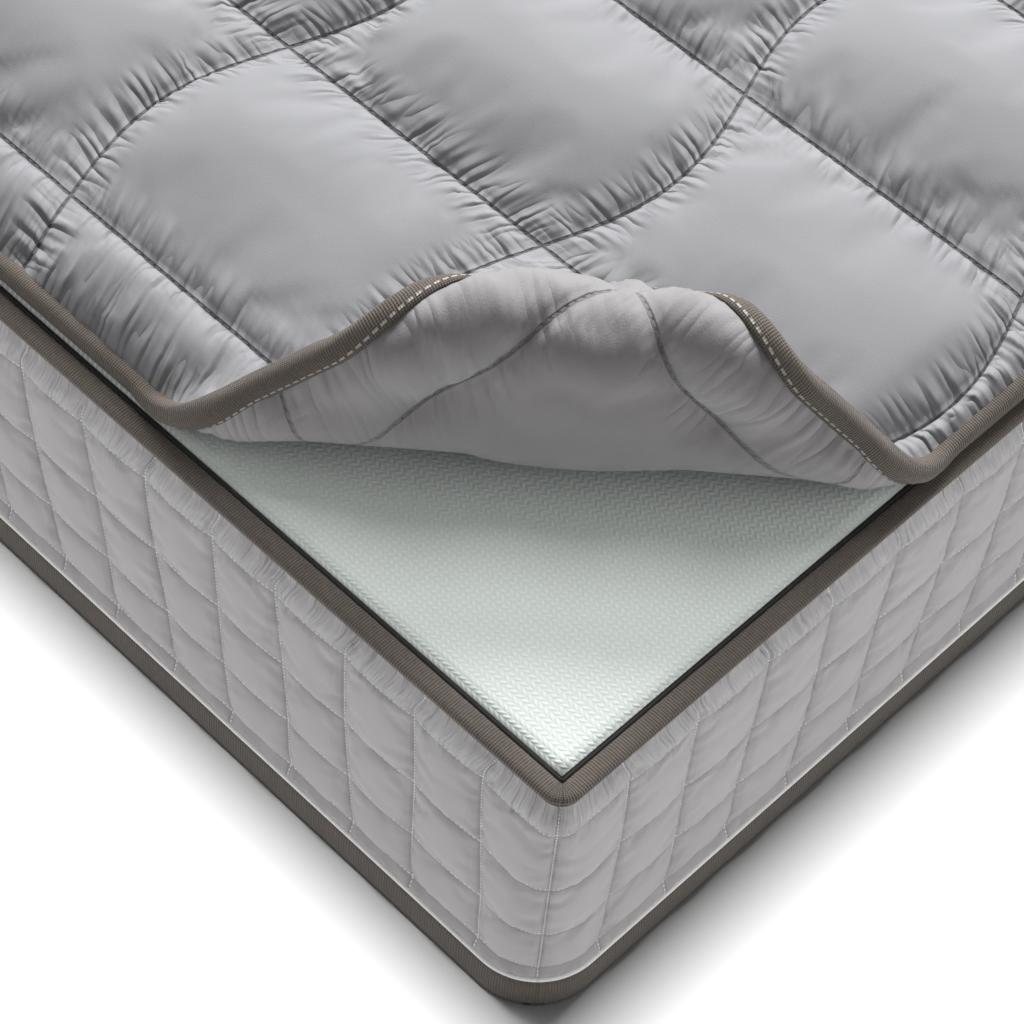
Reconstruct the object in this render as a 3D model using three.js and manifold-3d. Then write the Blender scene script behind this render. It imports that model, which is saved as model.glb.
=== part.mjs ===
// Memory foam mattress for a double bed, with a loose quilted topper whose corner is turned back.
// Millimetres, +Z up. The origin is on the floor, under the middle of the whole footprint.
// The foot end is at -Y, and the turned corner is the one at +X, -Y.

import * as THREE from "three";
import { mergeVertices } from "three/addons/utils/BufferGeometryUtils.js";
import Module from "manifold-3d";

const wasm = await Module();
wasm.setup();

// Plan of the mattress
const WIDTH = 1500; // along X
const LENGTH = 2000; // along Y
const CORNER_RADIUS = 32;
const CLEARANCE = 0.3; // between pieces that touch

// Layers of the mattress body, from the floor up
const BOTTOM_PANEL = 2;
const SUPPORT_CORE = 153;
const TRANSITION_FOAM = 30;
const MEMORY_FOAM = 50;
const KNIT_PANEL = 3.8;

// Border: quilted cloth on wadding, a base band, and a piping between them
const BORDER_CLOTH = 1.5;
const WADDING = 8;
const BASE_BAND_HEIGHT = 28;
const BASE_BAND = 1.5;
const PIPING = 4; // diameter
const PIPING_PROUD = 2; // how far it stands out of the border

// Tape over the top edge, and the dark tape sewn beside it on the knit panel
const EDGE_TAPE = 1.2;
const EDGE_TAPE_DROP = 11; // down the border
const EDGE_TAPE_LAP = 8; // over the top
const INNER_TAPE_WIDTH = 2;
const INNER_TAPE = 1.2;

// Quilted topper
const TOPPER_OFFSET_X = 8; // how far it lies off the mattress, towards +X
const TOPPER_OFFSET_Y = 10; // and towards +Y
const TOPPER_THICKNESS = 36;
const TOPPER_CLOTH = 1.5;
const BOUND_EDGE = 14; // height of the pad inside its binding
const EDGE_TAPER = 45; // width over which the pad thins to its edge
const BINDING = 1.2;
const BINDING_LAP = 11;

// Turned corner: two bends, measured on the middle plane of the pad
const FOLD_REACH_X = 300; // where the first bend starts, from the corner along the foot edge
const FOLD_REACH_Y = 258; // and along the +X edge
const LOWER_BEND_RADIUS = 28;
const LOWER_BEND = THREE.MathUtils.degToRad(90);
const RISER_STRAIGHT = 36;
const UPPER_BEND_RADIUS = 20;
const UPPER_BEND = THREE.MathUtils.degToRad(140);
const LOWER_EASE = 0.5; // how far the cut under the lower bend leans back, for each unit of depth

const ARC_STEPS = 5; // straight steps in an eighth of a turn
const MIN_RADIUS = 0.5; // of an inner corner

const bodyPlan = { width: WIDTH, length: LENGTH, x: -TOPPER_OFFSET_X / 2, y: -TOPPER_OFFSET_Y / 2 };
const topperPlan = { width: WIDTH, length: LENGTH, x: TOPPER_OFFSET_X / 2, y: TOPPER_OFFSET_Y / 2 };

const SIDES = [
  { name: "foot", turn: 0 },
  { name: "right", turn: Math.PI / 2 },
  { name: "head", turn: Math.PI },
  { name: "left", turn: -Math.PI / 2 },
];

const colours = {
  foam: [0xece6d2, 0.95],
  memory: [0xdfe6ea, 0.9],
  knit: [0xe3ebe6, 0.85],
  lining: [0x4a4541, 0.9],
  cloth: [0xa9a8ab, 0.75],
  under: [0x9a9699, 0.8],
  wadding: [0xf2f2ee, 0.95],
  tape: [0x5b544d, 0.8],
  dark: [0x1d1b1a, 0.85],
  white: [0xf4f3f0, 0.7],
};

const mattress = new THREE.Group();
mattress.name = "memory_foam_mattress";

function addMesh(name, geometry, colour) {
  const [hex, roughness] = colours[colour];
  const material = new THREE.MeshStandardMaterial({ color: hex, roughness, metalness: 0 });
  const mesh = new THREE.Mesh(geometry, material);
  mesh.name = name;
  mattress.add(mesh);
}

// A closed geometry as a manifold-3d solid, and back.
function toSolid(geometry) {
  const bare = new THREE.BufferGeometry();
  bare.setAttribute("position", geometry.getAttribute("position"));
  if (geometry.index) bare.setIndex(geometry.index);
  const merged = mergeVertices(bare, 1e-4);
  return new wasm.Manifold(
    new wasm.Mesh({
      numProp: 3,
      vertProperties: merged.getAttribute("position").array,
      triVerts: new Uint32Array(merged.index.array),
    }),
  );
}

function toGeometry(solid) {
  const mesh = solid.getMesh();
  const geometry = new THREE.BufferGeometry();
  geometry.setAttribute("position", new THREE.BufferAttribute(mesh.vertProperties, 3));
  geometry.setIndex(new THREE.BufferAttribute(mesh.triVerts, 1));
  return geometry;
}

// Plan outline at an inset from the edge, anticlockwise, with rounded corners.
function outline(plan, inset) {
  const radius = Math.max(CORNER_RADIUS - inset, MIN_RADIUS);
  const x = plan.width / 2 - inset - radius;
  const y = plan.length / 2 - inset - radius;
  const points = [];
  for (const [cx, cy, start] of [[x, -y, -0.5], [x, y, 0], [-x, y, 0.5], [-x, -y, 1]]) {
    for (let i = 0; i <= 2 * ARC_STEPS; i++) {
      const angle = (start + i / (4 * ARC_STEPS)) * Math.PI;
      points.push([
        plan.x + cx + radius * Math.cos(angle),
        plan.y + cy + radius * Math.sin(angle),
      ]);
    }
  }
  return points;
}

// Closed solid through a stack of outlines; each ring is [inset, height].
function stack(plan, rings) {
  const loops = rings.map(([inset, z]) => outline(plan, inset).map(([x, y]) => [x, y, z]));
  const count = loops[0].length;
  const positions = loops.flat(2);
  const index = [];
  for (let ring = 0; ring + 1 < loops.length; ring++) {
    for (let i = 0; i < count; i++) {
      const a = ring * count + i;
      const b = ring * count + ((i + 1) % count);
      index.push(a, b, b + count, a, b + count, a + count);
    }
  }
  const top = (loops.length - 1) * count;
  for (let i = 1; i + 1 < count; i++) {
    index.push(0, i + 1, i);
    index.push(top, top + i, top + i + 1);
  }
  const geometry = new THREE.BufferGeometry();
  geometry.setAttribute("position", new THREE.Float32BufferAttribute(positions, 3));
  geometry.setIndex(index);
  return geometry;
}

function slab(plan, inset, bottom, top) {
  return stack(plan, [[inset, bottom], [inset, top]]);
}

// Strip along one side of a plan, from the middle of one rounded corner to the middle of the next.
function strip(plan, side, outerInset, innerInset, bottom, top) {
  const along = side.turn % Math.PI === 0 ? plan.width / 2 : plan.length / 2;
  const out = side.turn % Math.PI === 0 ? plan.length / 2 : plan.width / 2;
  const outer = CORNER_RADIUS - outerInset;
  const inner = Math.max(CORNER_RADIUS - innerInset, MIN_RADIUS);
  const mitre = (radius) => Math.PI / 4 - Math.asin(Math.min(CLEARANCE / 2 / radius, 0.5));
  const arc = (radius, end) => {
    const points = [];
    for (let i = 0; i <= ARC_STEPS; i++) {
      const angle = (end * mitre(radius) * i) / ARC_STEPS;
      points.push(
        new THREE.Vector2(
          end * (along - CORNER_RADIUS) + radius * Math.sin(angle),
          -(out - CORNER_RADIUS) - radius * Math.cos(angle),
        ),
      );
    }
    return points;
  };
  const shape = new THREE.Shape([
    ...arc(outer, -1).reverse(),
    ...arc(outer, 1),
    ...arc(inner, 1).reverse(),
    ...arc(inner, -1),
  ]);
  const geometry = new THREE.ExtrudeGeometry(shape, {
    depth: top - bottom,
    steps: 1,
    bevelEnabled: false,
  });
  geometry.translate(0, 0, bottom);
  geometry.rotateZ(side.turn);
  geometry.translate(plan.x, plan.y, 0);
  return geometry;
}

function join(...geometries) {
  return geometries.map(toSolid).reduce((whole, solid) => whole.add(solid));
}

// Mattress body: the layers lie on each other inside the border.
const foamInset = BORDER_CLOTH + WADDING + 2 * CLEARANCE;
const layers = [
  ["bottom_panel", BOTTOM_PANEL, "lining"],
  ["support_core", SUPPORT_CORE, "foam"],
  ["transition_foam", TRANSITION_FOAM, "foam"],
  ["memory_foam", MEMORY_FOAM, "memory"],
  ["knit_top_panel", KNIT_PANEL, "knit"],
];
const innerTapeInset = EDGE_TAPE_LAP + CLEARANCE;
const layerInset = {
  bottom_panel: BASE_BAND + CLEARANCE,
  knit_top_panel: innerTapeInset + INNER_TAPE_WIDTH + CLEARANCE,
};
let level = 0;
for (const [name, thickness, colour] of layers) {
  addMesh(name, slab(bodyPlan, layerInset[name] ?? foamInset, level, level + thickness), colour);
  level += thickness + CLEARANCE;
}
const bodyTop = level - CLEARANCE;

// Border: wadding all the way up, quilted cloth above the piping, base band below it.
const borderTop = bodyTop - EDGE_TAPE - CLEARANCE;
const waddingBottom = BOTTOM_PANEL + CLEARANCE;
const pipingBottom = BASE_BAND_HEIGHT + CLEARANCE;
const clothBottom = pipingBottom + PIPING + CLEARANCE;
for (const side of SIDES) {
  const waddingInset = BORDER_CLOTH + CLEARANCE;
  const band = strip(bodyPlan, side, 0, BASE_BAND, 0, BASE_BAND_HEIGHT);
  const piping = strip(
    bodyPlan, side, -PIPING_PROUD, PIPING - PIPING_PROUD - waddingInset, pipingBottom, pipingBottom + PIPING,
  );
  const cloth = strip(bodyPlan, side, 0, BORDER_CLOTH, clothBottom, borderTop);
  const wadding = strip(bodyPlan, side, waddingInset, waddingInset + WADDING, waddingBottom, borderTop);
  addMesh("base_band_" + side.name, band, "tape");
  addMesh("piping_" + side.name, piping, "white");
  addMesh("border_cloth_" + side.name, cloth, "cloth");
  addMesh("border_wadding_" + side.name, wadding, "wadding");
}

// Edge tape: an angle that laps over the border and the top.
for (const side of SIDES) {
  const tapeOut = -(EDGE_TAPE + CLEARANCE);
  const drop = strip(bodyPlan, side, tapeOut, -CLEARANCE, bodyTop - EDGE_TAPE_DROP, bodyTop);
  const lap = strip(bodyPlan, side, tapeOut, EDGE_TAPE_LAP, bodyTop - EDGE_TAPE, bodyTop);
  addMesh("edge_tape_" + side.name, toGeometry(join(drop, lap)), "tape");
  const inner = strip(
    bodyPlan, side, innerTapeInset, innerTapeInset + INNER_TAPE_WIDTH, bodyTop - INNER_TAPE, bodyTop,
  );
  addMesh("inner_tape_" + side.name, inner, "dark");
}

// Topper, flat: two cloths round a fill that thins to a bound edge.
const topperBottom = bodyTop + CLEARANCE;
const topperTop = topperBottom + TOPPER_THICKNESS;
const padBottom = topperBottom + BINDING + CLEARANCE;
const edgeTop = topperBottom + BOUND_EDGE - BINDING - CLEARANCE;
const edgeInset = BINDING + CLEARANCE;
const lapInset = BINDING_LAP + CLEARANCE;
const fillBottom = padBottom + TOPPER_CLOTH + CLEARANCE;
const underEdge = edgeTop - TOPPER_CLOTH;
const underTop = topperTop - TOPPER_CLOTH;

function flatTopper() {
  const topCloth = stack(topperPlan, [
    [EDGE_TAPER, underTop],
    [lapInset, underEdge],
    [edgeInset, underEdge],
    [edgeInset, edgeTop],
    [lapInset, edgeTop],
    [EDGE_TAPER, topperTop],
  ]);
  const fill = stack(topperPlan, [
    [edgeInset, fillBottom],
    [edgeInset, underEdge - CLEARANCE],
    [lapInset, underEdge - CLEARANCE],
    [EDGE_TAPER, underTop - CLEARANCE],
  ]);
  const underCloth = slab(topperPlan, edgeInset, padBottom, padBottom + TOPPER_CLOTH);
  return { top_cloth: toSolid(topCloth), fill: toSolid(fill), under_cloth: toSolid(underCloth) };
}

function flatBinding(side) {
  const top = topperBottom + BOUND_EDGE;
  return join(
    strip(topperPlan, side, 0, BINDING, topperBottom, top),
    strip(topperPlan, side, 0, BINDING_LAP, topperBottom, topperBottom + BINDING),
    strip(topperPlan, side, 0, BINDING_LAP, top - BINDING, top),
  );
}

// Fold frame: origin at the topper's square corner, P away from it across the fold, Q along the fold.
const middle = topperBottom + TOPPER_THICKNESS / 2;
const reach = Math.hypot(FOLD_REACH_X, FOLD_REACH_Y);
const bendStart = (FOLD_REACH_X * FOLD_REACH_Y) / reach;
const corner = new THREE.Vector3(WIDTH / 2 + topperPlan.x, -LENGTH / 2 + topperPlan.y, 0);
const acrossFold = new THREE.Vector3(-FOLD_REACH_Y / reach, FOLD_REACH_X / reach, 0);
const alongFold = new THREE.Vector3(FOLD_REACH_X / reach, FOLD_REACH_Y / reach, 0);

// A hinge that stands for an arc lies half the arc's length along the flat pad, and this far above
// the middle plane, so that the pad on both sides of the arc is where the bent pad would be.
function hingeRise(radius, angle) {
  return radius * (1 - angle / 2 / Math.tan(angle / 2));
}
const lowerArc = LOWER_BEND_RADIUS * LOWER_BEND;
const upperArc = UPPER_BEND_RADIUS * UPPER_BEND;
const lowerHinge = {
  p: bendStart - lowerArc / 2,
  z: middle + hingeRise(LOWER_BEND_RADIUS, LOWER_BEND),
  angle: LOWER_BEND,
  ease: LOWER_EASE,
};
const upperHinge = {
  p: bendStart - lowerArc - RISER_STRAIGHT - upperArc / 2,
  z: middle + hingeRise(UPPER_BEND_RADIUS, UPPER_BEND),
  angle: UPPER_BEND,
  ease: 0,
};

function foldPoint(p, z) {
  return corner.clone().addScaledVector(acrossFold, p).setZ(z);
}

const cutTop = topperTop + CLEARANCE;
const cutBottom = topperBottom - CLEARANCE;

// Line of the cut at a hinge, from under the pad to above it, seen along Q: eased below the hinge,
// leaning back above it by half the bend, so that the two faces close on each other when bent.
function cutLine(hinge, direction) {
  const half = CLEARANCE / 2;
  const drop = hinge.z - cutBottom;
  const rise = cutTop - hinge.z;
  return [
    [hinge.p + direction * (half + drop * hinge.ease), cutBottom],
    [hinge.p + direction * half, hinge.z],
    [hinge.p + direction * (half + rise * Math.tan(hinge.angle / 2)), hinge.z + rise],
  ];
}

function foldPrism(points) {
  const shape = new THREE.Shape(points.map(([p, z]) => new THREE.Vector2(p, z)));
  const span = WIDTH + LENGTH;
  const geometry = new THREE.ExtrudeGeometry(shape, { depth: 2 * span, bevelEnabled: false });
  geometry.translate(0, 0, -span);
  const up = new THREE.Vector3(0, 0, 1);
  const basis = new THREE.Matrix4().makeBasis(acrossFold, up, acrossFold.clone().cross(up));
  return toSolid(geometry.applyMatrix4(basis.setPosition(corner)));
}

const far = WIDTH + LENGTH;
const cutters = {
  topper: foldPrism([
    ...cutLine(lowerHinge, 1),
    [far, cutTop],
    [far, cutBottom],
  ]),
  riser: foldPrism([...cutLine(upperHinge, 1), ...cutLine(lowerHinge, -1).reverse()]),
  tip: foldPrism([
    ...cutLine(upperHinge, -1),
    [-far, cutTop],
    [-far, cutBottom],
  ]),
};

// Turn about a hinge, by its bend, from flat to folded back.
function bend(hinge) {
  const point = foldPoint(hinge.p, hinge.z);
  return new THREE.Matrix4()
    .makeTranslation(point)
    .multiply(new THREE.Matrix4().makeRotationAxis(alongFold, -hinge.angle))
    .multiply(new THREE.Matrix4().makeTranslation(point.clone().negate()));
}
const riserPose = bend(lowerHinge);
const poses = {
  topper: new THREE.Matrix4(),
  riser: riserPose,
  tip: riserPose.clone().multiply(bend(upperHinge)),
};

function addFoldPiece(part, piece, solid, colour) {
  const geometry = toGeometry(solid.intersect(cutters[part]));
  addMesh(part + "_" + piece, geometry.applyMatrix4(poses[part]), colour);
}

const flat = flatTopper();
const clothColour = { top_cloth: "cloth", fill: "wadding", under_cloth: "under" };
for (const part of ["topper", "riser", "tip"]) {
  for (const [piece, solid] of Object.entries(flat)) {
    addFoldPiece(part, piece, solid, clothColour[piece]);
  }
}
for (const side of SIDES) {
  const turned = side.name === "foot" || side.name === "right";
  for (const part of turned ? ["topper", "riser", "tip"] : ["topper"]) {
    addFoldPiece(part, "binding_" + side.name, flatBinding(side), "tape");
  }
}

export default mattress;
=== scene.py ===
# A memory foam mattress for a double bed, with a loose quilted topper whose near corner is turned back.
# The sections follow the mattress from the studio floor up, in the order in which it is put together.

import math

import bmesh
import bpy
import numpy as np
from mathutils import Matrix, Vector


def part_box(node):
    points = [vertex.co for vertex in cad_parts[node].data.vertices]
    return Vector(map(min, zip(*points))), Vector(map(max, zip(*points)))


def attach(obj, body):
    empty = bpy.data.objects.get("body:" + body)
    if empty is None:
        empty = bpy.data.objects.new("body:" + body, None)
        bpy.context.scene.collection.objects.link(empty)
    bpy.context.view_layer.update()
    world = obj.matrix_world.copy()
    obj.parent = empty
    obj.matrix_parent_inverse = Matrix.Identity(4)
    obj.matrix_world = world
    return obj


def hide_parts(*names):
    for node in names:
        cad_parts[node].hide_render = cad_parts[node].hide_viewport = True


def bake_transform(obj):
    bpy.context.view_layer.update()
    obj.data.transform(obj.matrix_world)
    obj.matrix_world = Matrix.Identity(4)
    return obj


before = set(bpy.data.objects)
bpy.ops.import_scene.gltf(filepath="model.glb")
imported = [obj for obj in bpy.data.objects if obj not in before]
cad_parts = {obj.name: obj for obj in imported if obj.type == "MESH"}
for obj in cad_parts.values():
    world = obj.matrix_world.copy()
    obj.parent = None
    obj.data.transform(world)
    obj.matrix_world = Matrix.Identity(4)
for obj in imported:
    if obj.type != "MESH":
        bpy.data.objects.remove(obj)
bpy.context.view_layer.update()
scene = bpy.context.scene

# The studio: a white floor without a horizon, a wide soft light behind the mattress, and weaker soft
# lights over the knit and on the camera's side. The camera has a long lens and looks down on the
# near corner.
near_corner = Vector((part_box("base_band_right")[1][0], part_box("base_band_foot")[0][1], 0.0))

bm = bmesh.new()
bmesh.ops.create_grid(bm, x_segments=4, y_segments=4, size=14.0)
bmesh.ops.translate(bm, verts=bm.verts, vec=(0.0, 0.0, -0.0006))
floor_mesh = bpy.data.meshes.new("studio_floor")
bm.to_mesh(floor_mesh)
bm.free()
studio_floor = bpy.data.objects.new("studio_floor", floor_mesh)
scene.collection.objects.link(studio_floor)

floor_paint = bpy.data.materials.new("studio_floor_white")
floor_paint.use_nodes = True
floor_surface = floor_paint.node_tree.nodes["Principled BSDF"]
floor_surface.inputs["Base Color"].default_value = (0.5, 0.5, 0.5, 1.0)
floor_surface.inputs["Roughness"].default_value = 0.9
floor_surface.inputs["Specular IOR Level"].default_value = 0.1
floor_mesh.materials.append(floor_paint)


def soft_light(name, where, aim, size, power):
    lamp = bpy.data.lights.new(name, "AREA")
    lamp.shape = "RECTANGLE"
    lamp.size, lamp.size_y = size
    lamp.energy = power
    holder = bpy.data.objects.new(name, lamp)
    holder.location = where
    holder.rotation_euler = (Vector(aim) - Vector(where)).to_track_quat("-Z", "Y").to_euler()
    scene.collection.objects.link(holder)
    return holder


# One lamp lights only the floor, from just behind the corner, for a short shadow at its foot. The
# three small lights leave the topper out, so that its slopes on the camera's side stay dark.
floor_only = bpy.data.collections.new("floor_only")
floor_only.objects.link(studio_floor)


def leave_out(lit, piece):
    """Keeps a lamp that lights this collection off the piece."""
    lit.objects.link(piece)
    lit.collection_objects[-1].light_linking.link_state = "EXCLUDE"


all_but_floor = bpy.data.collections.new("all_but_floor")
leave_out(all_but_floor, studio_floor)
sides_only = bpy.data.collections.new("sides_only")
leave_out(sides_only, studio_floor)
floor_lamp = soft_light("floor_lamp", (0.40, -0.64, 6.0), (0.40, -0.64, 0.0), (1.4, 1.4), 900.0)
floor_lamp.light_linking.receiver_collection = floor_only
main_light = soft_light("main_light", (-1.5, 2.5, 3.0), (0.2, -0.4, 0.0), (2.2, 2.2), 380.0)
main_light.light_linking.receiver_collection = all_but_floor
for fill in (
    soft_light("knit_light", (-0.42, 0.37, 4.0), (0.63, -0.84, 0.2), (1.5, 1.5), 62.0),
    soft_light("left_fill", (-3.2, -3.0, 1.8), (0.3, -0.6, 0.1), (2.4, 2.0), 42.0),
    soft_light("right_fill", (3.2, 0.8, 1.8), (0.4, -0.6, 0.1), (2.4, 2.0), 29.0),
):
    fill.light_linking.receiver_collection = sides_only

sky = bpy.data.worlds.new("studio_white")
sky.use_nodes = True
sky.node_tree.nodes["Background"].inputs["Color"].default_value = (1.0, 1.0, 1.0, 1.0)
sky.node_tree.nodes["Background"].inputs["Strength"].default_value = 0.2
scene.world = sky
scene.view_settings.view_transform = "Standard"

lens = bpy.data.cameras.new("camera")
lens.sensor_width = 36.0
lens.lens = 112.4
lens.clip_start = 0.05
lens.clip_end = 60.0
look = Vector((-0.4065, 0.4172, -0.8128)).normalized()
level = look.cross(Vector((0.0, 0.0, 1.0))).normalized()
roll = math.radians(1.5)
across = level * math.cos(roll) + level.cross(look) * math.sin(roll)
upright = across.cross(look)
camera = bpy.data.objects.new("camera", lens)
camera.matrix_world = Matrix.Translation(near_corner + Vector((0.4929, -0.5312, 1.46))) @ (
    Matrix((across, upright, -look)).transposed().to_4x4()
)
scene.collection.objects.link(camera)
scene.camera = camera


# The foam core: a block of firm foam, a softer layer on it, and the memory foam on top, glued in a
# stack and boxed in by wadding. All of it is hidden inside the cover, so each block keeps its shape.
class Strand:
    """A socket of a material's nodes. Arithmetic on it adds the Math nodes."""

    def __init__(self, socket):
        self.socket = socket

    def node(self, kind, settings=None, sockets=None, out=0):
        tree = self.socket.id_data
        made = tree.nodes.new(kind)
        for key, value in (settings or {}).items():
            setattr(made, key, value)
        for key, value in (sockets or {}).items():
            if isinstance(value, Strand):
                tree.links.new(value.socket, made.inputs[key])
            else:
                made.inputs[key].default_value = value
        return Strand(made.outputs[out])

    def worked_out(self, operation, *values):
        return self.node("ShaderNodeMath", {"operation": operation}, dict(enumerate(values)))

    def __add__(self, other):
        return self.worked_out("ADD", self, other)

    def __radd__(self, other):
        return self.worked_out("ADD", other, self)

    def __sub__(self, other):
        return self.worked_out("SUBTRACT", self, other)

    def __rsub__(self, other):
        return self.worked_out("SUBTRACT", other, self)

    def __mul__(self, other):
        return self.worked_out("MULTIPLY", self, other)

    def __rmul__(self, other):
        return self.worked_out("MULTIPLY", other, self)

    def __truediv__(self, other):
        return self.worked_out("DIVIDE", self, other)

    def __abs__(self):
        return self.worked_out("ABSOLUTE", self)

    def sine(self):
        return self.worked_out("SINE", self)

    def off_line(self):
        """How far it is from the nearest whole number, 0 to 0.5."""
        return abs(self.worked_out("FRACT", self + 0.5) - 0.5)

    def under(self, edge, soft):
        """1 where it is below the edge, falling to 0 over a soft width."""
        return self.node(
            "ShaderNodeMapRange",
            {"interpolation_type": "SMOOTHSTEP"},
            {"Value": self, "From Min": edge, "From Max": edge + soft, "To Min": 1.0, "To Max": 0.0},
        )

    def blotches(self, scale, detail=2.0, stretch=None):
        place = self
        if stretch:
            place = self.node("ShaderNodeMapping", {}, {"Vector": self, "Scale": stretch})
        return place.node(
            "ShaderNodeTexNoise",
            {"noise_dimensions": "3D"},
            {"Vector": place, "Scale": scale, "Detail": detail, "Roughness": 0.55},
        )

    def tint(self, colour_0, colour_1):
        """A colour between the two, by this value."""
        made = self.socket.id_data.nodes.new("ShaderNodeMix")
        made.data_type = "RGBA"
        self.socket.id_data.links.new(self.socket, made.inputs[0])
        for slot_number, colour in ((6, colour_0), (7, colour_1)):
            if isinstance(colour, Strand):
                self.socket.id_data.links.new(colour.socket, made.inputs[slot_number])
            else:
                made.inputs[slot_number].default_value = (*colour, 1.0)
        return Strand(made.outputs[2])


class Fabric:
    """A cloth or foam material: one surface with a colour and a height."""

    def __init__(self, name, roughness, sheen=0.0, sheen_roughness=0.4, specular=0.3):
        self.material = bpy.data.materials.new(name)
        self.material.use_nodes = True
        self.tree = self.material.node_tree
        self.surface = self.tree.nodes["Principled BSDF"]
        self.surface.inputs["Roughness"].default_value = roughness
        self.surface.inputs["Specular IOR Level"].default_value = specular
        self.surface.inputs["Sheen Weight"].default_value = sheen
        self.surface.inputs["Sheen Roughness"].default_value = sheen_roughness
        self.place = Strand(self.tree.nodes.new("ShaderNodeTexCoord").outputs["Object"])

    def cloth_place(self):
        """The place on the cloth as cut, in metres: along and across."""
        flat = self.place.node("ShaderNodeUVMap", {"uv_map": "cut"})
        along = flat.node("ShaderNodeSeparateXYZ", {}, {0: flat}, 0)
        across_it = Strand(along.socket.node.outputs[1])
        return flat, along, across_it

    def finish(self, colour, height, depth=1.0):
        """The finished material; the height times the depth is in metres."""
        bump = height.node("ShaderNodeBump", {}, {"Height": height, "Distance": depth, "Strength": 1.0})
        self.tree.links.new(colour.socket, self.surface.inputs["Base Color"])
        self.tree.links.new(bump.socket, self.surface.inputs["Normal"])
        return self.material


def dress(node, material):
    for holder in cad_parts[node].material_slots:
        holder.link = "OBJECT"
        holder.material = material


def foam_finish(name, light, dark, cell):
    foam = Fabric(name, roughness=0.95, specular=0.1)
    cells = foam.place.node(
        "ShaderNodeTexVoronoi", {"feature": "F1"}, {"Vector": foam.place, "Scale": 1.0 / cell}
    )
    cloud = foam.place.blotches(9.0)
    return foam.finish((cloud * 0.5 + cells * 0.5).tint(light, dark), cells, 0.0006)


firm_foam = foam_finish("foam_cream", (0.86, 0.83, 0.74), (0.72, 0.68, 0.58), 0.0016)
soft_foam = foam_finish("foam_pale", (0.88, 0.86, 0.80), (0.76, 0.73, 0.66), 0.0013)
slow_foam = foam_finish("foam_slow", (0.80, 0.85, 0.88), (0.68, 0.74, 0.78), 0.0008)
dress("support_core", firm_foam)
dress("transition_foam", soft_foam)
dress("memory_foam", slow_foam)

SIDES = (
    ("foot", 0.0, 0),
    ("right", math.pi / 2, 1),
    ("head", math.pi, 0),
    ("left", -math.pi / 2, 1),
)


# The bottom panel: nonwoven cloth with rows of small grip dots, stretched under the core and sewn
# into the base band. It lies flat on the bed base.
lining = Fabric("bottom_cloth_dark", roughness=0.9, specular=0.15)
lining_x = lining.place.node("ShaderNodeSeparateXYZ", {}, {0: lining.place}, 0)
lining_y = Strand(lining_x.socket.node.outputs[1])
dot_x = (lining_x / 0.012).off_line() * 0.012
dot_y = (lining_y / 0.012).off_line() * 0.012
dots = (dot_x * dot_x + dot_y * dot_y).under(2.5e-6, 1.5e-6)
pressed = lining.place.blotches(700.0, 3.0)
lining_colour = dots.tint(pressed.tint((0.10, 0.092, 0.084), (0.15, 0.14, 0.128)), (0.05, 0.047, 0.044))
dress("bottom_panel", lining.finish(lining_colour, dots * 0.0005 + pressed * 0.0002))


# The base band: a coarse woven band 28 mm high round the foot of the border. Its lower edge is turned
# under the bottom panel, and its upper edge is caught in the piping's seam.
BODY_CENTRE = (
    (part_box("base_band_left")[0][0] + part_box("base_band_right")[1][0]) / 2,
    (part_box("base_band_foot")[0][1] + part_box("base_band_head")[1][1]) / 2,
)
HALF_WIDTH, HALF_LENGTH = 0.75, 1.0
HALF = {0: (HALF_WIDTH, HALF_LENGTH), 1: (HALF_LENGTH, HALF_WIDTH)}
BODY_HEIGHT = 0.24
TOP_LEAN = 0.011


def round_the_side(turn, long_way, centre, t, out, radius):
    """Plan point at t along a side, out from its face, with a rounded corner at each end."""
    half_along, half_out = HALF[long_way]
    t, out, radius = np.broadcast_arrays(
        np.asarray(t, float), np.asarray(out, float), np.asarray(radius, float)
    )
    end = np.sign(t)
    left = half_along - np.abs(t)
    angle = np.clip(1.0 - left / radius, 0.0, 1.0) * math.pi / 4
    in_arc = left < radius
    reach = radius + out
    x = np.where(in_arc, end * (half_along - radius + reach * np.sin(angle)), t)
    y = np.where(in_arc, -(half_out - radius) - reach * np.cos(angle), -(half_out + out))
    c, s = math.cos(turn), math.sin(turn)
    return centre[0] + c * x - s * y, centre[1] + s * x + c * y


def leaned(x, z):
    """The soft body leans out a little at the top, towards the right."""
    t = np.clip(x / HALF_WIDTH, 0.0, 1.0)
    return x + TOP_LEAN * np.clip(z / BODY_HEIGHT, 0.0, 1.0) * t * t * (3 - 2 * t)


def steps_along(long_way, step):
    """Places along a side, closer together near its two corners."""
    half, close, close_step = HALF[long_way][0], 0.045, 0.0025
    near = np.arange(-half, -half + close, close_step)
    middle = np.linspace(-half + close, half - close, int(2 * half / step))
    return np.concatenate([near, middle, -near[::-1]])


def sheet_of_points(columns, rows):
    """A grid in bmesh, as a mesh, with the column and row of each point."""
    bm = bmesh.new()
    bmesh.ops.create_grid(bm, x_segments=columns - 1, y_segments=rows - 1, size=0.5)
    made = bpy.data.meshes.new("sheet")
    bm.to_mesh(made)
    bm.free()
    co = np.empty(len(made.vertices) * 3)
    made.vertices.foreach_get("co", co)
    co = co.reshape(-1, 3)
    i = np.rint((co[:, 0] + 0.5) * (columns - 1)).astype(int)
    j = np.rint((co[:, 1] + 0.5) * (rows - 1)).astype(int)
    return made, i, j


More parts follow.
